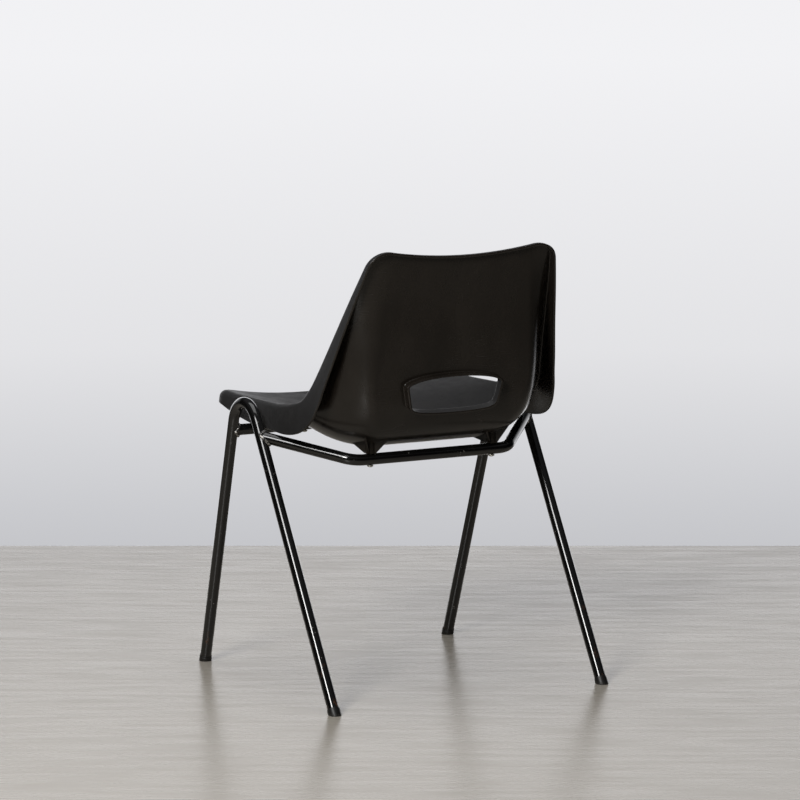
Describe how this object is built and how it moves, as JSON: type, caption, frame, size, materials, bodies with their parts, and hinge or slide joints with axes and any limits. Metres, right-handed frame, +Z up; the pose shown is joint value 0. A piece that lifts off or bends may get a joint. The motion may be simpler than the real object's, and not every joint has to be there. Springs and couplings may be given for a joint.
{
  "type": "stacking chair",
  "caption": "Stacking side chair: one-piece moulded plastic bucket shell with folded edge and hand hold, on a tubular steel frame of hairpin legs and cross rails.",
  "frame": {"origin": "on the floor, midway between the feet", "axes": "+Z up; the sitter faces -Y; the chair's left side is +X"},
  "size_m": [0.527, 0.5164, 0.7429],
  "materials": {
    "shell_plastic": "black polypropylene, fine matt grain on the sitter's side and smooth satin gloss behind and beneath",
    "frame_paint": "black gloss paint with small chips",
    "cap_plastic": "black moulded plastic, scuffed",
    "screw_steel": "zinc plated, slightly dull",
    "insert_brass": "plain turned brass"
  },
  "bodies": {
    "root": {"seat_shell": "shell_plastic", "leg_hairpin_left": "frame_paint", "leg_hairpin_right": "frame_paint", "rail_rear": "frame_paint", "rail_front": "frame_paint", "weld_rear_left": "frame_paint", "foot_cap_rear_left": "cap_plastic", "screw_rear_left": "screw_steel", "insert_rear_left": "insert_brass", "weld_rear_right": "frame_paint", "foot_cap_rear_right": "cap_plastic", "screw_rear_right": "screw_steel", "insert_rear_right": "insert_brass", "weld_front_left": "frame_paint", "foot_cap_front_left": "cap_plastic", "screw_front_left": "screw_steel", "insert_front_left": "insert_brass", "weld_front_right": "frame_paint", "foot_cap_front_right": "cap_plastic", "screw_front_right": "screw_steel", "insert_front_right": "insert_brass"}
  },
  "joints": []
}
